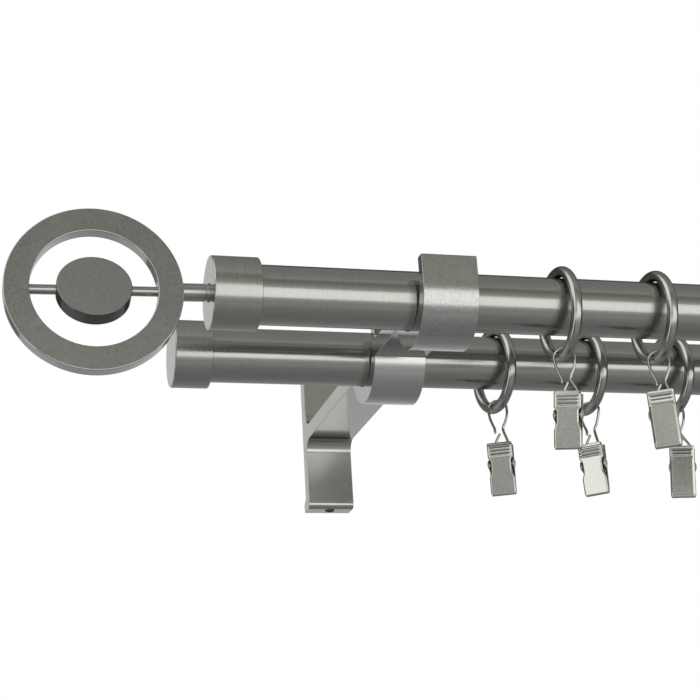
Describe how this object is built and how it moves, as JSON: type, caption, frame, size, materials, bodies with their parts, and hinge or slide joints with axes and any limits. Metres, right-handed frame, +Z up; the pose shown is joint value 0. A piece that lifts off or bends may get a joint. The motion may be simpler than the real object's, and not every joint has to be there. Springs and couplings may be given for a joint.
{
  "type": "double curtain pole",
  "caption": "Two parallel tubular curtain poles on wall brackets, with ring finials, plain rear caps and hanging clip rings.",
  "frame": {"origin": "middle of the left bracket's wall plate, on the wall plane", "axes": "+X along the poles to the right, +Y into the wall, +Z up"},
  "size_m": [1.3351, 0.1815, 0.084],
  "materials": {
    "pole": "satin nickel, brushed along its length",
    "cap": "satin nickel, turned",
    "stem": "satin nickel, turned",
    "finial": "satin nickel, matt face",
    "finial_disc": "matt face, polished edge",
    "rod": "satin nickel",
    "bracket": "satin nickel, brushed",
    "wall_plate": "matt nickel",
    "screw": "plain steel",
    "ring": "dark polished nickel",
    "wire": "bright nickel wire",
    "clip": "bright nickel sheet",
    "rivet": "bright nickel",
    "spring": "plain spring steel"
  },
  "bodies": {
    "frame": {"front_pole": "pole", "rear_pole": "pole", "finial_cap_left": "cap", "finial_cap_right": "cap", "rear_cap_left": "cap", "rear_cap_right": "cap", "finial_stem_left": "stem", "finial_stem_right": "stem", "finial_ring_left": "finial", "finial_ring_right": "finial", "finial_rods_left": "rod", "finial_rods_right": "rod", "bracket_body_left": "bracket", "bracket_body_right": "bracket", "wall_plate_left": "wall_plate", "wall_plate_right": "wall_plate", "grub_screw_left": "screw", "grub_screw_right": "screw"},
    "disc_left": {"finial_disc_left": "finial_disc"},
    "disc_right": {"finial_disc_right": "finial_disc"},
    "ring_front_1": {"curtain_ring_front_1": "ring"},
    "clip_front_1": {"ring_hook_front_1": "wire", "waisted_jaw_front_1": "clip", "clip_pin_front_1": "rivet", "clip_spring_front_1": "spring"},
    "jaw_front_1": {"straight_jaw_front_1": "clip"},
    "ring_front_2": {"curtain_ring_front_2": "ring"},
    "clip_front_2": {"ring_hook_front_2": "wire", "waisted_jaw_front_2": "clip", "clip_pin_front_2": "rivet", "clip_spring_front_2": "spring"},
    "jaw_front_2": {"straight_jaw_front_2": "clip"},
    "ring_rear_1": {"curtain_ring_rear_1": "ring"},
    "clip_rear_1": {"ring_hook_rear_1": "wire", "waisted_jaw_rear_1": "clip", "clip_pin_rear_1": "rivet", "clip_spring_rear_1": "spring"},
    "jaw_rear_1": {"straight_jaw_rear_1": "clip"},
    "ring_rear_2": {"curtain_ring_rear_2": "ring"},
    "clip_rear_2": {"ring_hook_rear_2": "wire", "waisted_jaw_rear_2": "clip", "clip_pin_rear_2": "rivet", "clip_spring_rear_2": "spring"},
    "jaw_rear_2": {"straight_jaw_rear_2": "clip"},
    "ring_rear_3": {"curtain_ring_rear_3": "ring"},
    "clip_rear_3": {"ring_hook_rear_3": "wire", "waisted_jaw_rear_3": "clip", "clip_pin_rear_3": "rivet", "clip_spring_rear_3": "spring"},
    "jaw_rear_3": {"straight_jaw_rear_3": "clip"}
  },
  "joints": [
    {"name": "disc_left_turn", "type": "hinge", "parent": "frame", "child": "disc_left", "pos_m": [-0.11474, -0.1648, 0.00007], "axis": [0.9998, 0, 0.0209], "continuous": true},
    {"name": "disc_right_turn", "type": "hinge", "parent": "frame", "child": "disc_right", "pos_m": [1.16324, -0.1648, 0.00007], "axis": [0.9998, 0, -0.0209], "continuous": true},
    {"name": "ring_front_1_slide", "type": "slide", "parent": "frame", "child": "ring_front_1", "axis": [1, 0, 0], "range_m": [-0.0291, 0.01865]},
    {"name": "clip_front_1_swing", "type": "hinge", "parent": "ring_front_1", "child": "clip_front_1", "pos_m": [0.04435, -0.1648, -0.0166], "axis": [-0.007, 1, 0], "range_deg": [-35, 35]},
    {"name": "jaw_front_1_open", "type": "hinge", "parent": "clip_front_1", "child": "jaw_front_1", "pos_m": [0.04445, -0.16301, -0.0375], "axis": [0.8428, -0.5266, -0.1115], "range_deg": [0, 15], "stiffness_Nm_per_rad": 0.03, "springref_deg": -28.65, "deforming": ["clip_spring_front_1"]},
    {"name": "ring_front_2_slide", "type": "slide", "parent": "frame", "child": "ring_front_2", "axis": [1, 0, 0], "range_m": [-0.01865, 0.95375]},
    {"name": "clip_front_2_swing", "type": "hinge", "parent": "ring_front_2", "child": "clip_front_2", "pos_m": [0.0795, -0.1648, -0.0166], "axis": [-0.0087, 1, 0], "range_deg": [-35, 35]},
    {"name": "jaw_front_2_open", "type": "hinge", "parent": "clip_front_2", "child": "jaw_front_2", "pos_m": [0.07838, -0.16582, -0.03737], "axis": [-0.8743, 0.4846, -0.0279], "range_deg": [0, 15], "stiffness_Nm_per_rad": 0.03, "springref_deg": -28.65, "deforming": ["clip_spring_front_2"]},
    {"name": "ring_rear_1_slide", "type": "slide", "parent": "frame", "child": "ring_rear_1", "axis": [1, 0, 0], "range_m": [-0.0264, 0.02055]},
    {"name": "clip_rear_1_swing", "type": "hinge", "parent": "ring_rear_1", "child": "clip_rear_1", "pos_m": [0.04165, -0.1043, -0.0166], "axis": [-0.1028, 0.9947, 0], "range_deg": [-35, 35]},
    {"name": "jaw_rear_1_open", "type": "hinge", "parent": "clip_rear_1", "child": "jaw_rear_1", "pos_m": [0.04195, -0.10276, -0.03826], "axis": [0.8829, -0.4695, -0.007], "range_deg": [0, 15], "stiffness_Nm_per_rad": 0.03, "springref_deg": -28.65, "deforming": ["clip_spring_rear_1"]},
    {"name": "ring_rear_2_slide", "type": "slide", "parent": "frame", "child": "ring_rear_2", "axis": [1, 0, 0], "range_m": [-0.02055, 0.0192]},
    {"name": "clip_rear_2_swing", "type": "hinge", "parent": "ring_rear_2", "child": "clip_rear_2", "pos_m": [0.0787, -0.1043, -0.0166], "axis": [-0.0732, 0.9973, 0], "range_deg": [-35, 35]},
    {"name": "jaw_rear_2_open", "type": "hinge", "parent": "clip_rear_2", "child": "jaw_rear_2", "pos_m": [0.07902, -0.10278, -0.03799], "axis": [0.7659, -0.6426, 0.0209], "range_deg": [0, 15], "stiffness_Nm_per_rad": 0.03, "springref_deg": -28.65, "deforming": ["clip_spring_rear_2"]},
    {"name": "ring_rear_3_slide", "type": "slide", "parent": "frame", "child": "ring_rear_3", "axis": [1, 0, 0], "range_m": [-0.0192, 0.91885]},
    {"name": "clip_rear_3_swing", "type": "hinge", "parent": "ring_rear_3", "child": "clip_rear_3", "pos_m": [0.1144, -0.1043, -0.0166], "axis": [-0.0819, 0.9966, 0], "range_deg": [-35, 35]},
    {"name": "jaw_rear_3_open", "type": "hinge", "parent": "clip_rear_3", "child": "jaw_rear_3", "pos_m": [0.11443, -0.10549, -0.03931], "axis": [-0.8712, 0.4829, 0.0889], "range_deg": [0, 15], "stiffness_Nm_per_rad": 0.03, "springref_deg": -28.65, "deforming": ["clip_spring_rear_3"]}
  ]
}
